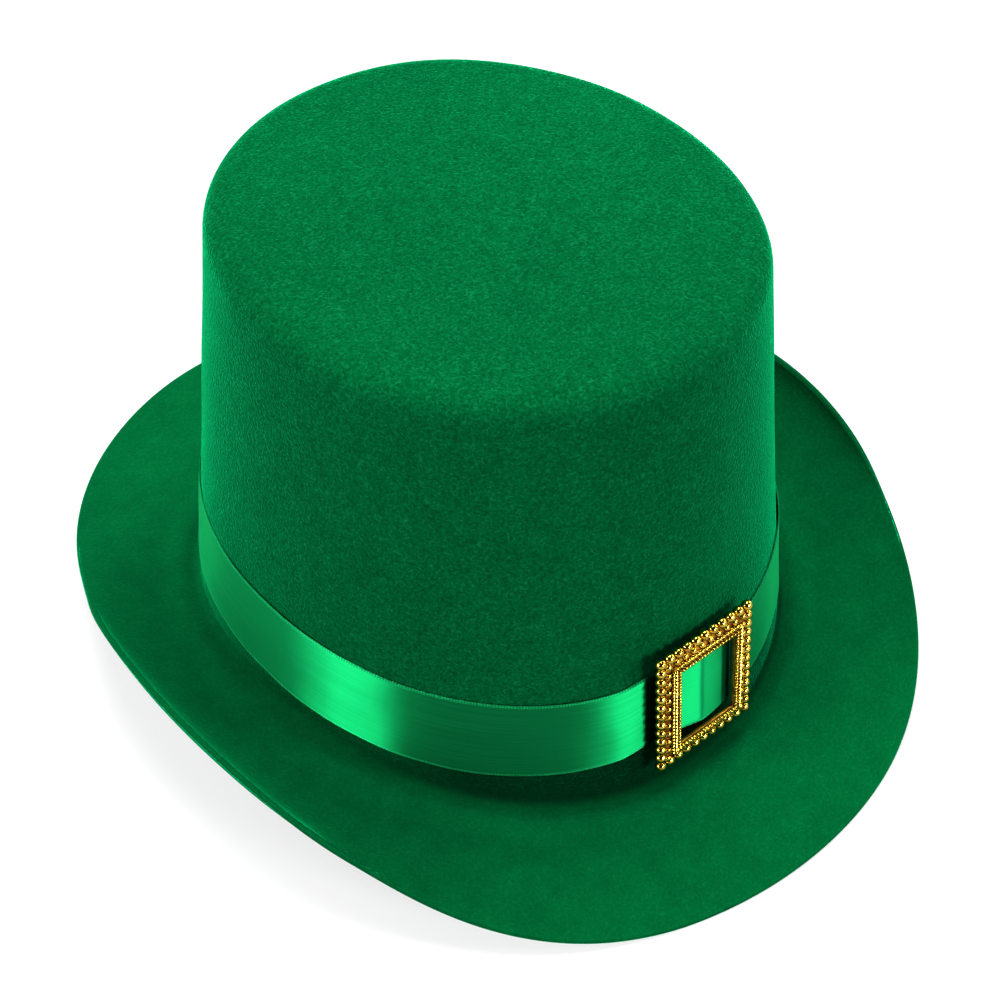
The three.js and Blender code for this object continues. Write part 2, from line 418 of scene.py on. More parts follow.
@dataclass(frozen=True)
class FeltFinish:
    """Matted wool felt: a fine dark and light grain with short stray fibres, smoother on the brim."""

    ground: Colour = (0.0, 0.054, 0.016, 1.0)
    matted: Colour = (0.0, 0.083, 0.029, 1.0)
    stray: Colour = (0.005, 0.124, 0.054, 1.0)
    sheen_tint: Colour = (0.0, 0.58, 0.25, 1.0)
    sheen_roughness: float = 0.32
    specular: float = 0.02
    grain_scale: float = 980.0
    grain_edges: tuple[float, float] = (0.28, 0.72)
    stray_scale: float = 460.0
    stray_width: float = 0.07
    stray_curl: float = 0.4
    stray_share: float = 0.6
    second_strays: tuple[float, float, float] = (0.37, 0.11, 0.23)
    break_scale: float = 600.0
    first_breaks: tuple[float, float] = (0.52, 0.62)
    second_breaks: tuple[float, float] = (0.38, 0.48)
    patch_scale: float = 120.0
    cloud_scale: float = 16.0
    base_tone: float = 0.68
    patch_tone: float = 0.36
    cloud_tone: float = 0.28
    brim_share: float = 0.35
    grain_relief: float = 0.8
    stray_relief: float = 0.5
    patch_relief: float = 0.5
    relief: float = 0.0003
    relief_strength: float = 0.55

    def material(self) -> bpy.types.Material:
        """Builds the felt's finish. Its mesh has the attributes "nap" and "foot"; "foot" carries
        painted shade and painted light.

        Returns:
            The material.
        """
        graph = Graph(bpy.data.materials.new("green felt"))
        where = graph.place()
        nap = graph.attribute("nap")
        foot = graph.attribute("foot")
        hairy = self.brim_share + (1 - self.brim_share) * nap
        grain = graph.noise(where, self.grain_scale, 3.0)
        patch = graph.noise(where, self.patch_scale, 3.0)
        cloud = graph.noise(where, self.cloud_scale, 2.0)
        strays = self.strays(graph, where) * hairy
        matting = 0.5 + (grain.smooth(*self.grain_edges) - 0.5) * hairy
        wool = graph.blend(matting, self.ground, self.matted)
        tone = graph.blend(strays * self.stray_share, wool, self.stray)
        # The foot factor paints shade at the crown's foot and light on the ridge and brim.
        level = (self.base_tone + self.patch_tone * patch + self.cloud_tone * cloud) * foot
        height = self.grain_relief * matting + self.stray_relief * strays + self.patch_relief * patch
        return graph.finish(
            {
                "Base Color": graph.shade(tone, level),
                "Roughness": 1.0,
                "Specular IOR Level": self.specular,
                "Sheen Weight": 1.0,
                "Sheen Roughness": self.sheen_roughness,
                "Sheen Tint": self.sheen_tint,
                "Normal": graph.bump(height, self.relief, self.relief_strength),
            }
        )

    def strays(self, graph: Graph, where: bpy.types.NodeSocket) -> Number:
        """Short curly fibres: broken level lines of two noises.

        Args:
            graph: the node tree.
            where: the coordinates that the fibres follow.

        Returns:
            1 on a fibre and 0 between fibres.
        """
        places = (where, graph.moved(where, shift=self.second_strays))
        noises = [graph.noise(place, self.stray_scale, 1.0, self.stray_curl) for place in places]
        lines = [1 - (abs(value - 0.5) / self.stray_width).clamped() for value in noises]
        breaks = graph.noise(where, self.break_scale, 1.0)
        first = lines[0] * breaks.smooth(*self.first_breaks)
        return first + lines[1] * (1 - breaks.smooth(*self.second_breaks))


@dataclass(frozen=True)
class SatinFinish:
    """Single-face satin: long floating threads along the ribbon and a woven selvedge.

    It is darker where it lies in the buckle's closest shade.
    """

    thread: Colour = (0.004, 0.25, 0.088, 1.0)
    light_thread: Colour = (0.008, 0.29, 0.115, 1.0)
    selvedge: Colour = (0.02, 0.36, 0.15, 1.0)
    specular_tint: Colour = (0.1, 0.42, 0.24, 1.0)
    threads_across: float = 90.0
    thread_length: float = 0.6
    soft_edges: tuple[float, float] = (0.35, 0.65)
    slub_scale: tuple[float, float, float] = (9.0, 2.5, 1.0)
    slub_shift: tuple[float, float, float] = (3.0, 1.0, 0.0)
    selvedge_share: float = 0.022
    picks_per_width: float = 32.0
    gloss: float = 0.8
    roughness: float = 0.47
    slub_roughness: float = 0.05
    selvedge_roughness: float = 0.1
    thread_gloss: float = 0.97
    quarter_turn: float = 0.25
    thread_relief: float = 0.35
    slub_relief: float = 0.30
    selvedge_relief: float = 0.8
    relief: float = 0.00012
    relief_strength: float = 0.6

    def material(self) -> bpy.types.Material:
        """Builds the ribbon's finish. Its UV map has one unit for each width of the ribbon.

        Returns:
            The material.
        """
        graph = Graph(bpy.data.materials.new("green satin"))
        where = graph.node("ShaderNodeUVMap", {"uv_map": "ribbon"}).outputs["UV"]
        axes = graph.node("ShaderNodeSeparateXYZ", None, {0: where})
        along = Number(graph, axes.outputs["X"])
        across = Number(graph, axes.outputs["Y"])
        threads = graph.noise(graph.moved(where, (self.thread_length, self.threads_across, 1.0)), 1.0)
        slubs = graph.noise(graph.moved(where, self.slub_scale, self.slub_shift), 1.0)
        edge = 0.5 - abs(across - 0.5)
        selvedge = 1 - edge.smooth(self.selvedge_share, self.selvedge_share * 1.5)
        picks = graph.math("SINE", along * (math.tau * self.picks_per_width)) * 0.5 + 0.5
        dashes = selvedge * picks.smooth(*self.soft_edges)
        tone = graph.blend(threads.smooth(*self.soft_edges), self.thread, self.light_thread)
        tone = graph.blend(dashes, tone, self.selvedge)
        height = self.thread_relief * threads + self.slub_relief * slubs + self.selvedge_relief * dashes
        rough = self.roughness + self.slub_roughness * slubs + self.selvedge_roughness * selvedge
        return graph.finish(
            {
                "Base Color": graph.shade(tone, graph.attribute("shade")),
                "Roughness": rough,
                "Metallic": self.gloss,
                "Specular IOR Level": 1.0,
                "Specular Tint": self.specular_tint,
                "Anisotropic": self.thread_gloss,
                "Anisotropic Rotation": self.quarter_turn,
                "Normal": graph.bump(height, self.relief, self.relief_strength),
            }
        )


@dataclass(frozen=True)
class GiltFinish:
    """Bright gold-coloured plating, a little duller in places."""

    name: str = "gilt"
    plating: Colour = (0.56, 0.41, 0.085, 1.0)
    wear_and_painted_light: Colour = (0.44, 0.29, 0.05, 1.0)
    roughness: float = 0.13
    dulling: float = 0.12
    cloud_scale: float = 260.0
    worn_edges: tuple[float, float] = (0.4, 0.65)
    grain_scale: float = 2600.0
    relief: float = 0.00005
    relief_strength: float = 0.35

    def material(self) -> bpy.types.Material:
        """Builds the metal's finish.

        Returns:
            The material.
        """
        graph = Graph(bpy.data.materials.new(self.name))
        where = graph.place()
        cloud = graph.noise(where, self.cloud_scale, 3.0)
        grain = graph.noise(where, self.grain_scale)
        return graph.finish(
            {
                "Base Color": graph.blend(cloud.smooth(*self.worn_edges), self.plating, self.wear_and_painted_light),
                "Metallic": 1.0,
                "Roughness": self.roughness + self.dulling * cloud,
                "Normal": graph.bump(grain, self.relief, self.relief_strength),
            }
        )


# Darker, duller gilt for the plate under the ornament: painted shade in the recesses between the beads
# and on the frame's inner walls.
RECESS_PAINTED_SHADE = GiltFinish(
    name="gilt recess",
    plating=(0.42, 0.26, 0.045, 1.0),
    wear_and_painted_light=(0.25, 0.13, 0.02, 1.0),
    roughness=0.5,
)


@dataclass(frozen=True)
class FloorFinish:
    """A plain white sheet of acrylic, lit evenly from below."""

    paint: Colour = (0.17, 0.17, 0.17, 1.0)
    shade: Colour = (0.155, 0.155, 0.155, 1.0)
    cloud_scale: float = 6.0
    roughness: float = 0.9
    glow: float = 0.72

    def material(self) -> bpy.types.Material:
        """Builds the floor's finish.

        Returns:
            The material.
        """
        graph = Graph(bpy.data.materials.new("white floor"))
        cloud = graph.noise(graph.place(), self.cloud_scale)
        return graph.finish(
            {
                "Base Color": graph.blend(cloud, self.paint, self.shade),
                "Roughness": self.roughness,
                "Specular IOR Level": 0.0,
                "Emission Color": WHITE,
                "Emission Strength": self.glow,
            }
        )


def make_object(mesh: bmesh.types.BMesh, name: str, material: bpy.types.Material) -> bpy.types.Object:
    """Turns a finished bmesh into an object at the origin.

    Args:
        mesh: the shape, in place. It is freed.
        name: the object's name.
        material: its finish.

    Returns:
        The object, linked to the scene.
    """
    data = bpy.data.meshes.new(name)
    mesh.to_mesh(data)
    mesh.free()
    data.shade_smooth()
    data.materials.append(material)
    made = bpy.data.objects.new(name, data)
    bpy.context.scene.collection.objects.link(made)
    return made


def make_piece(
    mesh: bmesh.types.BMesh, name: str, material: bpy.types.Material
) -> bpy.types.Object:
    """Turns a finished bmesh into a piece of the hat.

    Args:
        mesh: the shape, in place. It is freed.
        name: the piece's name.
        material: its finish.

    Returns:
        The piece, riding on the hat's one body.
    """
    piece = make_object(mesh, name, material)
    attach(piece, "root")
    LOG.info("%s: %d faces, finish %s", name, len(piece.data.polygons), material.name)
    return piece


def spun_sheet(chain: list[Vector], spokes: int) -> bmesh.types.BMesh:
    """Spins a chain of points once round the Z axis.

    Args:
        chain: the points, from one edge of the sheet to the other.
        spokes: how many steps the turn has.

    Returns:
        The sheet of quads, closed round the axis, with points on the axis merged.
    """
    mesh = bmesh.new()
    verts = [mesh.verts.new(point) for point in chain]
    edges = [mesh.edges.new(pair) for pair in zip(verts, verts[1:])]
    bmesh.ops.spin(
        mesh,
        geom=verts + edges,
        cent=(0.0, 0.0, 0.0),
        axis=(0.0, 0.0, 1.0),
        dvec=(0.0, 0.0, 0.0),
        angle=math.tau,
        steps=spokes,
        use_merge=True,
    )
    bmesh.ops.remove_doubles(mesh, verts=mesh.verts, dist=MERGE_DISTANCE)
    return mesh


def turned_out(mesh: bmesh.types.BMesh, is_right: Callable[[bmesh.types.BMFace], bool]) -> None:
    """Makes a sheet's normals agree and point outwards.

    Args:
        mesh: the sheet.
        is_right: says of a face whether it points outwards.
    """
    bmesh.ops.recalc_face_normals(mesh, faces=mesh.faces)
    mesh.faces.ensure_lookup_table()
    if not is_right(mesh.faces[0]):
        bmesh.ops.reverse_faces(mesh, faces=mesh.faces)
    mesh.normal_update()


def bevel_sharp(mesh: bmesh.types.BMesh, angle: float, offset: float, segments: int) -> None:
    """Rounds each sharp edge.

    Args:
        mesh: the shape.
        angle: the turn past which an edge is sharp.
        offset: how far from the edge the rounding starts.
        segments: how many steps the rounding has.
    """
    mesh.normal_update()
    sharp = [edge for edge in mesh.edges if edge.is_manifold and edge.calc_face_angle() > angle]
    bmesh.ops.bevel(
        mesh,
        geom=sharp,
        offset=offset,
        affect="EDGES",
        segments=segments,
        profile=0.5,
        material=-1,
    )


@dataclass
class FeltBody:
    """Crown and brim, blocked from one disc of felt."""

    shape: HatShape
    thickness: float = 0.002
    spokes: int = 288
    edge_turn: float = math.radians(55.0)
    edge_rounding: float = 0.0007
    edge_steps: int = 3
    unevenness: float = 0.00035
    uneven_length: float = 0.038
    disc: float = 0.42
    ring_pitch: float = 0.001
    hairy_rings: tuple[int, int] = (-4, 6)
    # Painted light and shade on the felt: painted shade at the crown's foot, a painted highlight on the
    # ridge, painted light on the brim.
    painted_shade_depth: float = 0.66
    foot_fade: tuple[float, float] = (0.036, 0.047)
    foot_sides: tuple[float, float] = (math.radians(42.0), math.radians(84.0))
    brim_fade: tuple[float, float] = (-0.12, 0.035)
    ridge_painted_highlight: float = 0.16
    ridge_rise: tuple[float, float] = (0.03, 0.11)
    ridge_fall: tuple[float, float] = (0.13, 0.34)
    brim_painted_light: float = 0.08
    brim_painted_light_swing: float = 0.13
    brim_rise: tuple[float, float] = (0.0, 0.2)

    def build(self) -> bpy.types.Object:
        """Blocks the felt and gives it its thickness, a soft cut edge and its finish.

        Returns:
            The piece.
        """
        rings = len(self.shape.column(0.0))
        radius = [Vector((i * self.ring_pitch, 0.0, 0.0)) for i in range(rings)]
        mesh = spun_sheet(radius, self.spokes)
        self.block(mesh)
        turned_out(mesh, self.faces_out)
        self.uneven(mesh)
        bmesh.ops.solidify(mesh, geom=mesh.faces[:], thickness=self.thickness)
        self.stand(mesh)
        bevel_sharp(mesh, self.edge_turn, self.edge_rounding, self.edge_steps)
        self.stand(mesh)
        piece = make_piece(mesh, "felt_shell", FeltFinish().material())
        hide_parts("felt_body")
        return piece

    def faces_out(self, face: bmesh.types.BMFace) -> bool:
        """Whether a face of the tip points up. Any face low down passes."""
        return face.normal.z > 0 or face.calc_center_median().z < self.shape.height / 2

    def block(self, mesh: bmesh.types.BMesh) -> None:
        """Moves each point of the flat disc to its place on the hat, and paints its attributes.

        Args:
            mesh: the disc.
        """
        step = math.tau / self.spokes
        columns = [self.shape.column(i * step) for i in range(self.spokes)]
        crown_rings = Zone.TIP.value + Zone.SHOULDER.value + Zone.WALL.value
        brim_ring = crown_rings + Zone.FILLET.value
        nap = mesh.verts.layers.float.new("nap")
        foot = mesh.verts.layers.float.new("foot")
        for vert in mesh.verts:
            ring = round(vert.co.xy.length / self.ring_pitch)
            spoke = round(math.atan2(vert.co.y, vert.co.x) / step) % self.spokes
            vert.co = columns[spoke][ring]
            vert[nap] = 1.0 - ease(ring - crown_rings, *self.hairy_rings)
            part = (ring - brim_ring) / Zone.BRIM.value
            height = vert.co.z if ring < brim_ring else 0.0
            # The foot attribute holds the felt's painted shade and painted light.
            vert[foot] = self.painted_light_and_shade(spoke * step, height, part)

    def painted_light_and_shade(self, angle: float, height: float, part: float) -> float:
        """How bright the felt is: painted shade deep at the foot of the crown in front, a painted
        highlight on the ridge just outside the crease, and painted light that grows out on the brim,
        lighter at the front and back and darker on the rolled sides.

        Args:
            angle: where the point lies round the crown.
            height: how high it lies on the crown, or 0 on the brim.
            part: how far out it lies on the brim, from 0 to 1, or below 0 on the crown.

        Returns:
            A factor for the felt's colour.
        """
        away = abs(math.remainder(angle - FRONT, math.tau))
        # Painted shade: the felt is darkened at the foot of the crown in front, where the ribbon and
        # the brim shade it.
        painted_shade = self.painted_shade_depth * (1 - ease(away, *self.foot_sides))
        on_crown = 1 - ease(height, *self.foot_fade)
        on_brim = 1 - ease(part, *self.brim_fade)
        # Painted highlight: a lighter band on the brim just outside the crease.
        ridge_highlight = self.ridge_painted_highlight * ease(part, *self.ridge_rise) * (1 - ease(part, *self.ridge_fall))
        # Painted light and shade: the brim is made lighter out towards its front and back and darker on
        # its rolled sides.
        wear_and_painted_light = (self.brim_painted_light + self.brim_painted_light_swing * math.cos(2 * away)) * ease(part, *self.brim_rise)
        return 1 - painted_shade * on_crown * on_brim + ridge_highlight + wear_and_painted_light

    def uneven(self, mesh: bmesh.types.BMesh) -> None:
        """Lets the face stand a little in and out, as handled felt does.

        Args:
            mesh: the blocked felt, before it has its thickness.
        """
        mesh.normal_update()
        for vert in mesh.verts:
            wave = noise.noise(vert.co / self.uneven_length)
            vert.co += vert.normal * (self.unevenness * wave)

    @staticmethod
    def stand(mesh: bmesh.types.BMesh) -> None:
        """Flattens the underside where it rests on the ground."""
        for vert in mesh.verts:
            vert.co.z = max(vert.co.z, 0.0)


@dataclass
class HatBand:
    """The satin ribbon round the foot of the crown, threaded over the buckle's centre bar."""

    shape: HatShape
    width: float = 0.0298
    thickness: float = 0.0004
    stand_off: float = 0.0007
    middle: float = 0.0432
    back_climb: float = 0.0034
    side_climb: float = 0.0023
    crest_lift: float = 0.0030
    crest_left: float = 0.0
    crest_right: float = 0.001
    left_run: float = 0.0255
    left_power: float = 2.4
    fold: float = 0.0137
    fold_share: float = 0.76
    fold_run: float = 0.0016
    pressed: float = 0.13
    pressed_from: float = 0.016
    pressed_to: float = 0.024
    crest_rounding: float = 0.0003
    crest_samples: int = 7
    buckle_shade: float = 0.9
    left_shade_from: tuple[float, float] = (-0.0202, -0.0192)
    left_shade_to: tuple[float, float] = (-0.0150, -0.0130)
    right_shade_run: float = 0.0008
    right_shade_to: tuple[float, float] = (0.0196, 0.0206)
    flare: float = 0.0005
    flare_angle: float = math.radians(-38.0)
    flare_reach: float = 0.5
    drawn_up: float = 0.0034
    drawn_flat: float = 0.0125
    drawn_run: float = 0.017
    waviness: float = 0.00022
    wave_length: float = 0.016
    spokes: int = 840
    rows: int = 24
    row_pitch: float = 0.001

    def span(self, x: float) -> float:
        """How far the ribbon stands off: drawn up over the centre bar to a fold, then down.

        Args:
            x: where it lies across the front.

        Returns:
            The share of its greatest stand-off, below 0 where it is pressed on the crown.
        """
        if x < self.crest_left:
            return max(1 - (self.crest_left - x) / self.left_run, 0.0) ** self.left_power
        fall = 1 - (1 - self.fold_share) * (x - self.crest_right) / (self.fold - self.crest_right)
        if x > self.fold:
            fall = self.fold_share - (x - self.fold) / self.fold_run
        pressed = -self.pressed * (1 - ease(x, self.pressed_from, self.pressed_to))
        return min(max(fall, pressed), 1.0)

    def crest(self, x: float) -> float:
        """The stand-off at x, with its corners rounded."""
        reach = self.crest_samples // 2
        samples = [self.span(x + i * self.crest_rounding) for i in range(-reach, reach + 1)]
        return sum(samples) / self.crest_samples

    def closeness_shade(self, place: Vector) -> float:
        """How bright the ribbon is: dark close beside and under the buckle's upright bars.

        Args:
            place: a point on the ribbon.

        Returns:
            A factor for the ribbon's colour.
        """
        if place.y >= 0:
            return 1.0
        left = ease(place.x, *self.left_shade_from) * (1 - ease(place.x, *self.left_shade_to))
        right = ease(place.x, self.fold, self.fold + self.right_shade_run)
        right *= 1 - ease(place.x, *self.right_shade_to)
        return 1 - self.buckle_shade * max(left, right)

    def gap(self, angle: float) -> float:
        """How far the upper edge stands off the crown, where the ribbon is slack."""
        away = abs(math.remainder(angle - self.flare_angle, math.tau))
        return self.flare * (1 - ease(away, 0.0, self.flare_reach))

    def point(self, angle: float, share: float) -> Vector:
        """A point on the ribbon's outer face.

        Args:
            angle: where it lies round the crown.
            share: 0 at the lower edge and 1 at the upper one.

        Returns:
            The point.
        """
        climb = self.back_climb * math.sin(angle)
        middle = self.middle + climb + self.side_climb * math.cos(2 * angle)
        on_wall = self.shape.crown_point(angle, middle)
        front = 1.0 if on_wall.y < 0 else 0.0
        away = ease(abs(on_wall.x), self.drawn_flat, self.drawn_flat + self.drawn_run)
        height = middle + (share - 0.5) * self.width + front * self.drawn_up * (1 - away)
        out = self.stand_off + front * self.crest_lift * self.crest(on_wall.x)
        out += self.gap(angle) * share * share
        wave = noise.noise(Vector((on_wall.x, on_wall.y, height)) / self.wave_length)
        out += self.waviness * wave
        return self.shape.crown_point(angle, height, out)

    def build(self) -> bpy.types.Object:
        """Makes the closed ribbon with its UV map and its finish.

        Returns:
            The piece.
        """
        chain = [Vector((1.0, 0.0, i * self.row_pitch)) for i in range(self.rows + 1)]
        mesh = spun_sheet(chain, self.spokes)
        self.wind(mesh)
        turned_out(mesh, lambda face: face.normal.dot(face.calc_center_median()) > 0)
        bmesh.ops.solidify(mesh, geom=mesh.faces[:], thickness=self.thickness)
        piece = make_piece(mesh, "satin_ribbon", SatinFinish().material())
        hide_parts("ribbon_band")
        length = sum(self.step_lengths())
        LOG.info("ribbon length %.4f", length)
        return piece

    def step_lengths(self) -> list[float]:
        """Measures the ribbon along its middle.

        Returns:
            The length from each spoke to the next.
        """
        step = math.tau / self.spokes
        points = [self.point(i * step, 0.5) for i in range(self.spokes + 1)]
        return [(second - first).length for first, second in zip(points, points[1:])]

    def wind(self, mesh: bmesh.types.BMesh) -> None:
        """Moves each point of a plain hoop to its place on the crown and unrolls the hoop as UVs.

        Args:
            mesh: the hoop.
        """
        step = math.tau / self.spokes
        lengths = self.step_lengths()
        starts = [sum(lengths[:i]) / self.width for i in range(self.spokes + 1)]
        layer = mesh.loops.layers.uv.new("ribbon")
        for face in mesh.faces:
            middle = face.calc_center_median()
            column = int(math.atan2(middle.y, middle.x) / step % self.spokes)
            for loop in face.loops:
                turn = math.atan2(loop.vert.co.y, loop.vert.co.x) / step
                ahead = (turn - column) % self.spokes
                spoke = column + (1 if 0.5 < ahead < self.spokes / 2 else 0)
                loop[layer].uv = (starts[spoke], loop.vert.co.z / self.row_pitch / self.rows)
        shade = mesh.verts.layers.float.new("shade")
        for vert in mesh.verts:
            share = vert.co.z / self.row_pitch / self.rows
            vert.co = self.point(math.atan2(vert.co.y, vert.co.x), share)
            vert[shade] = self.closeness_shade(vert.co)


@dataclass
class Buckle:
    """A cast rectangular frame: a bead border, a row of bumps, a rope and a beaded rim.

    Its parts are drawn flat, with X across, Y up and Z out from the crown, and then leant against
    the front of the crown.
    """

    shape: HatShape
    window_width: float = 0.0234
    window_height: float = 0.032
    bar: float = 0.0084
    centre_height: float = 0.0414
    back: float = 0.0024
    rim_depth: float = 0.0060
    rim_wall: float = 0.0013
    border_depth: float = 0.0040
    plate_inset: float = 0.0025
    plate_turn: float = math.radians(30.0)
    plate_rounding: float = 0.00035
    bead_radius: float = 0.00183
    bead_depth: float = 0.00415
    beads_across: int = 11
    beads_down: int = 13
    bump_radius: float = 0.00125
    bump_inset: float = 0.0041
    bump_rise: float = 0.1
    rope_radius: float = 0.00098
    rope_inset: float = 0.0022
    rope_lay: float = 0.0045
    rope_strands: int = 3
    rope_lobe: float = 0.27
    rope_rise: float = 0.35
    sides_per_strand: int = 6
    steps_per_lay: int = 22
    rim_bead_radius: float = 0.00062
    rim_inset: float = 0.0006
    rim_pitch: float = 0.0013
    rim_rise: float = 0.55
    ball_detail: int = 3
    rim_detail: int = 2
    bar_width: float = 0.004
    bar_overlap: float = 0.008
    bar_thickness: float = 0.0011
    bar_depth: float = 0.00225
    bar_turn: float = math.radians(60.0)
    bar_rounding: float = 0.0003

    def build(self) -> list[bpy.types.Object]:
        """Makes the buckle's parts, which are one casting.

        Returns:
            The pieces.
        """
        gilt = GiltFinish().material()
        # The plate gets the darker gilt of painted shade.
        plate = make_piece(self.placed(self.plate()), "buckle_plate", RECESS_PAINTED_SHADE.material())
        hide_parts("buckle_frame")
        drawn = {
            "buckle_beads": self.beads(),
            "buckle_bumps": self.bumps(),
            "buckle_rope": self.rope(),
            "buckle_rim": self.rim(),
            "buckle_centre_bar": self.centre_bar(),
        }
        parts = [make_piece(self.placed(mesh), name, gilt) for name, mesh in drawn.items()]
        return [plate, *parts]

    def placed(self, mesh: bmesh.types.BMesh) -> bmesh.types.BMesh:
        """Leans a flat drawn part against the front of the crown.

        Args:
            mesh: the part.

        Returns:
            The same part, in its place.
        """
        seat = self.shape.crown_point(FRONT, self.centre_height)
        above = self.shape.crown_point(FRONT, self.centre_height + 0.001)
        lean = math.atan2(above.y - seat.y, 0.001)
        matrix = Matrix.Translation(seat) @ Matrix.Rotation(math.pi / 2 - lean, 4, "X")
        bmesh.ops.transform(mesh, matrix=matrix, verts=mesh.verts)
        return mesh

    def plate_depth(self, inset: float) -> float:
        """How far out the plate's sloped face lies, inset from the window's edge."""
        return mix(self.rim_depth, self.border_depth, inset / (self.bar - self.plate_inset))

    def plate(self) -> bmesh.types.BMesh:
        """The mitred frame that carries the ornament, sloped down to its border.

        Returns:
            The frame, drawn flat.
        """
        mesh = bmesh.new()
        width = self.window_width + 2 * (self.bar - self.plate_inset)
        height = self.window_height + 2 * (self.bar - self.plate_inset)
        bmesh.ops.create_grid(mesh, x_segments=1, y_segments=1, size=0.5)
        bmesh.ops.scale(mesh, vec=(width, height, 1.0), verts=mesh.verts)
        opening = mesh.faces[:]
        bmesh.ops.inset_region(
            mesh,
            faces=opening,
            thickness=self.bar - self.plate_inset,
            use_boundary=True,
            use_even_offset=True,
        )
        bmesh.ops.delete(mesh, geom=opening, context="FACES")
        front = bmesh.ops.extrude_face_region(mesh, geom=mesh.faces[:])["geom"]
        raised = {item for item in front if isinstance(item, bmesh.types.BMVert)}
        for vert in mesh.verts:
            inner = abs(vert.co.x) < width / 2 - self.bar / 2
            if vert in raised:
                vert.co.z = self.rim_depth if inner else self.border_depth
            else:
                vert.co.z = self.rim_depth - self.rim_wall if inner else self.back
        bmesh.ops.recalc_face_normals(mesh, faces=mesh.faces)
        bevel_sharp(mesh, self.plate_turn, self.plate_rounding, 2)
        return mesh

    def round_trip(self, inset: float, across: int, down: int) -> list[Vector]:
        """Points round the frame, all four corners among them.

        Args:
            inset: how far outside the window's edge they lie.
            across: how many lie along the top and along the bottom.
            down: how many lie along each side.

        Returns:
            The points, at depth 0.
        """
        half_width = self.window_width / 2 + inset
        half_height = self.window_height / 2 + inset
        points = []
        for i in range(across):
            x = mix(-half_width, half_width, i / (across - 1))
            points += [Vector((x, half_height, 0.0)), Vector((x, -half_height, 0.0))]
        for i in range(1, down - 1):
            y = mix(-half_height, half_height, i / (down - 1))
            points += [Vector((half_width, y, 0.0)), Vector((-half_width, y, 0.0))]
        return points

    @staticmethod
    def balls(
        points: Iterable[Vector], radius: float, depth: float, detail: int
    ) -> bmesh.types.BMesh:
        """Sets one ball at each point.

        Args:
            points: the balls' places, at depth 0.
            radius: the balls' radius.
            depth: how far out their middles lie.
            detail: how often each ball's faces are divided.

        Returns:
            All the balls in one mesh.
        """
        mesh = bmesh.new()
        for point in points:
            matrix = Matrix.Translation(point + Vector((0.0, 0.0, depth)))
            bmesh.ops.create_icosphere(mesh, subdivisions=detail, radius=radius, matrix=matrix)
        return mesh

    def beads(self) -> bmesh.types.BMesh:
        """The border's round beads."""
        points = self.round_trip(self.bar - self.bead_radius, self.beads_across, self.beads_down)
        return self.balls(points, self.bead_radius, self.bead_depth, self.ball_detail)

    def bumps(self) -> bmesh.types.BMesh:
        """The lower bumps inside the beads.

        Returns:
            The bumps, drawn flat.
        """
        points = self.round_trip(self.bump_inset, self.beads_across - 1, self.beads_down - 1)
        depth = self.plate_depth(self.bump_inset) + self.bump_rise * self.bump_radius
        return self.balls(points, self.bump_radius, depth, self.ball_detail)

    def rim(self) -> bmesh.types.BMesh:
        """The fine beads along the window's edge.

        Returns:
            The beads, drawn flat.
        """
        across = round((self.window_width + 2 * self.rim_inset) / self.rim_pitch) + 1
        down = round((self.window_height + 2 * self.rim_inset) / self.rim_pitch) + 1
        points = self.round_trip(self.rim_inset, across, down)
        depth = self.rim_depth + self.rim_rise * self.rim_bead_radius
        return self.balls(points, self.rim_bead_radius, depth, self.rim_detail)

    def rope(self) -> bmesh.types.BMesh:
        """Four straight twisted ropes that meet at the corners.

        Returns:
            The ropes, drawn flat.
        """
        mesh = bmesh.new()
        half_width = self.window_width / 2 + self.rope_inset
        half_height = self.window_height / 2 + self.rope_inset
        depth = self.plate_depth(self.rope_inset) + self.rope_rise * self.rope_radius
        for sign in (-1, 1):
            start = Vector((-half_width, sign * half_height, depth))
            self.twist(mesh, start, Vector((1.0, 0.0, 0.0)), 2 * half_width)
            start = Vector((sign * half_width, -half_height, depth))
            self.twist(mesh, start, Vector((0.0, 1.0, 0.0)), 2 * half_height)
        return mesh

    def twist(self, mesh: bmesh.types.BMesh, start: Vector, along: Vector, length: float) -> None:
        """Adds one rope: a lobed section, turned about its own middle as it goes along.

        Args:
            mesh: the mesh that the rope joins.
            start: the middle of its first end.
            along: its direction.
            length: its length.
        """
        sides = self.rope_strands * self.sides_per_strand
        steps = round(length / self.rope_lay * self.steps_per_lay)
        turn = Vector((0.0, 0.0, 1.0)).rotation_difference(along).to_matrix().to_4x4()
        matrix = Matrix.Translation(start) @ turn
        ring = bmesh.ops.create_circle(
            mesh,
            cap_ends=False,
            segments=sides,
            radius=self.rope_radius,
            matrix=matrix,
        )["verts"]
        for i, vert in enumerate(ring):
            lobe = 1 + self.rope_lobe * math.cos(self.rope_strands * math.tau * i / sides)
            vert.co = start + (vert.co - start) * lobe
        edges = list({edge for vert in ring for edge in vert.link_edges})
        bmesh.ops.contextual_create(mesh, geom=edges)
        spun = bmesh.ops.spin(
            mesh,
            geom=ring + edges,
            cent=start,
            axis=along,
            dvec=along * (length / steps),
            angle=math.tau * length / self.rope_lay,
            steps=steps,
            use_merge=False,
        )
        last = [item for item in spun["geom_last"] if isinstance(item, bmesh.types.BMEdge)]
        bmesh.ops.contextual_create(mesh, geom=last)
        bmesh.ops.recalc_face_normals(mesh, faces=mesh.faces)

    def centre_bar(self) -> bmesh.types.BMesh:
        """The flat bar behind the ribbon.

        Returns:
            The bar, drawn flat.
        """
        mesh = bmesh.new()
        size = (self.bar_width, self.window_height + self.bar_overlap, self.bar_thickness)
        bmesh.ops.create_cube(mesh, size=1.0)
        bmesh.ops.scale(mesh, vec=size, verts=mesh.verts)
        bmesh.ops.translate(mesh, vec=(0.0, 0.0, self.bar_depth), verts=mesh.verts)
        bevel_sharp(mesh, self.bar_turn, self.bar_rounding, 2)
        return mesh


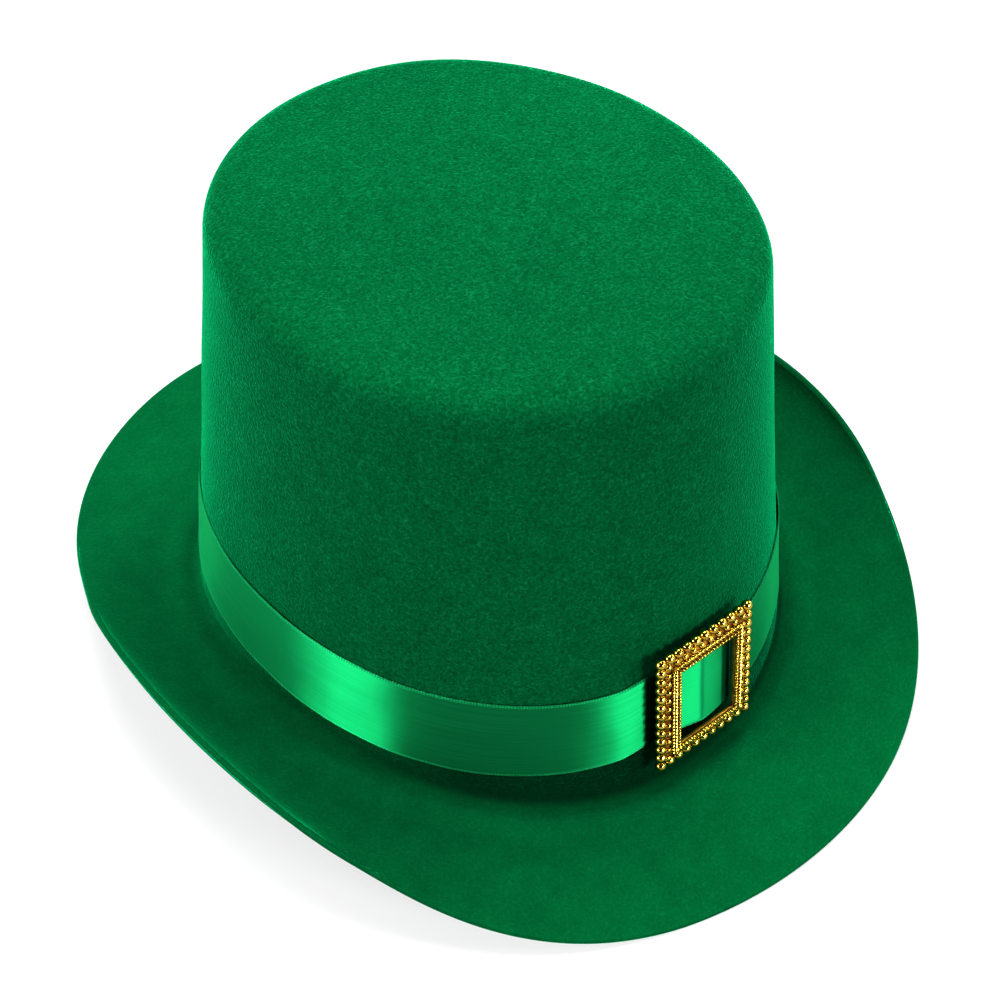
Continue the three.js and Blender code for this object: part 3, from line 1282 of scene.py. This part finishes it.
@dataclass(frozen=True)
class Viewpoint:
    """The photograph's camera."""

    target: tuple[float, float, float] = (0.0, -0.0068, 0.06162)
    distance: float = 0.79913
    azimuth: float = math.radians(-40.516)
    elevation: float = math.radians(43.684)
    roll: float = math.radians(-0.971)
    pixels_per_metre: float = 3071.4
    target_pixel: tuple[float, float] = (484.49, 469.20)
    frame_pixels: int = 1000
    sensor: float = 36.0

    def back(self) -> Vector:
        """The direction from the target to the camera.

        Returns:
            A vector of length 1.
        """
        level = math.cos(self.elevation)
        east = math.sin(self.azimuth) * level
        north = -math.cos(self.azimuth) * level
        return Vector((east, north, math.sin(self.elevation)))

    def build(self) -> bpy.types.Object:
        """Makes the camera and gives it to the scene.

        Returns:
            The camera.
        """
        data = bpy.data.cameras.new("camera")
        data.sensor_width = self.sensor
        data.lens = self.sensor * self.pixels_per_metre * self.distance / self.frame_pixels
        middle = self.frame_pixels / 2
        data.shift_x = (middle - self.target_pixel[0]) / self.frame_pixels
        data.shift_y = (self.target_pixel[1] - middle) / self.frame_pixels
        data.clip_start = 0.01
        data.clip_end = 50.0
        back = self.back()
        level = Vector((math.cos(self.azimuth), math.sin(self.azimuth), 0.0))
        upright = back.cross(level)
        right = math.cos(self.roll) * level + math.sin(self.roll) * upright
        up = math.cos(self.roll) * upright - math.sin(self.roll) * level
        turn = Matrix((right, up, back)).transposed().to_4x4()
        camera = bpy.data.objects.new("camera", data)
        camera.matrix_world = Matrix.Translation(Vector(self.target) + back * self.distance) @ turn
        bpy.context.scene.collection.objects.link(camera)
        bpy.context.scene.camera = camera
        return camera


@dataclass(frozen=True)
class Softbox:
    """A large soft light. Its azimuth is counted from the camera's own."""

    name: str
    azimuth: float
    elevation: float
    width: float
    height: float
    power: float
    distance: float = 1.4

    def build(self, view: Viewpoint) -> bpy.types.Object:
        """Hangs the light so that it faces the middle of the hat.

        Args:
            view: the camera's viewpoint.

        Returns:
            The light.
        """
        data = bpy.data.lights.new(self.name, "AREA")
        data.shape = "RECTANGLE"
        data.size = self.width
        data.size_y = self.height
        data.energy = self.power
        turn = view.azimuth + math.radians(self.azimuth)
        rise = math.radians(self.elevation)
        level = math.cos(rise)
        away = Vector((math.sin(turn) * level, -math.cos(turn) * level, math.sin(rise)))
        light = bpy.data.objects.new(self.name, data)
        light.location = Vector(view.target) + away * self.distance
        light.rotation_mode = "QUATERNION"
        light.rotation_quaternion = away.to_track_quat("Z", "Y")
        bpy.context.scene.collection.objects.link(light)
        return light


@dataclass
class Studio:
    """A white floor, soft lights and a surround that is dim as a light and pale to look at."""

    view: Viewpoint
    floor_size: float = 12.0
    surround: float = 0.05
    backdrop: float = 0.75
    view_gamma: float = 0.75
    # Each light's name, azimuth, elevation, width, height and power.
    lights: tuple[Softbox, ...] = (
        Softbox("top", 180.0, 80.0, 0.8, 0.8, 40.0),
        Softbox("left_front", -56.0, 20.0, 0.56, 0.4, 27.0),
        Softbox("left_high", -92.0, 42.0, 0.8, 0.8, 7.0),
        Softbox("left_back", -124.0, 20.0, 0.8, 0.8, 10.0),
        Softbox("right_front", 45.0, 18.0, 0.24, 0.4, 18.5),
        Softbox("right_side", 74.0, 22.0, 0.2, 0.5, 10.0),
        Softbox("right_back", 122.0, 20.0, 0.8, 0.8, 10.0),
    )

    def build(self) -> None:
        """Sets the stage."""
        mesh = bmesh.new()
        bmesh.ops.create_grid(mesh, x_segments=1, y_segments=1, size=self.floor_size / 2)
        make_object(mesh, "floor", FloorFinish().material())
        for light in self.lights:
            light.build(self.view)
        bpy.context.scene.world = self.world()
        bpy.context.scene.view_settings.view_transform = "Standard"
        bpy.context.scene.view_settings.gamma = self.view_gamma

    def world(self) -> bpy.types.World:
        """Builds the surround, which is paler to look at than the light that it gives.

        Returns:
            The world.
        """
        world = bpy.data.worlds.new("surround")
        graph = Graph(world)
        seen = Number(graph, graph.node("ShaderNodeLightPath").outputs["Is Camera Ray"])
        strength = self.surround + (self.backdrop - self.surround) * seen
        inputs = {"Color": WHITE, "Strength": strength}
        background = graph.node("ShaderNodeBackground", None, inputs)
        graph.node("ShaderNodeOutputWorld", None, {"Surface": background.outputs[0]})
        return world


def main() -> None:
    """Builds the hat and its studio."""
    logging.basicConfig(level=logging.INFO, format="%(name)s: %(message)s")
    view = Viewpoint()
    view.build()
    shape = HatShape()
    FeltBody(shape).build()
    HatBand(shape).build()
    Buckle(shape).build()
    Studio(view).build()


if __name__ == "__main__":
    main()
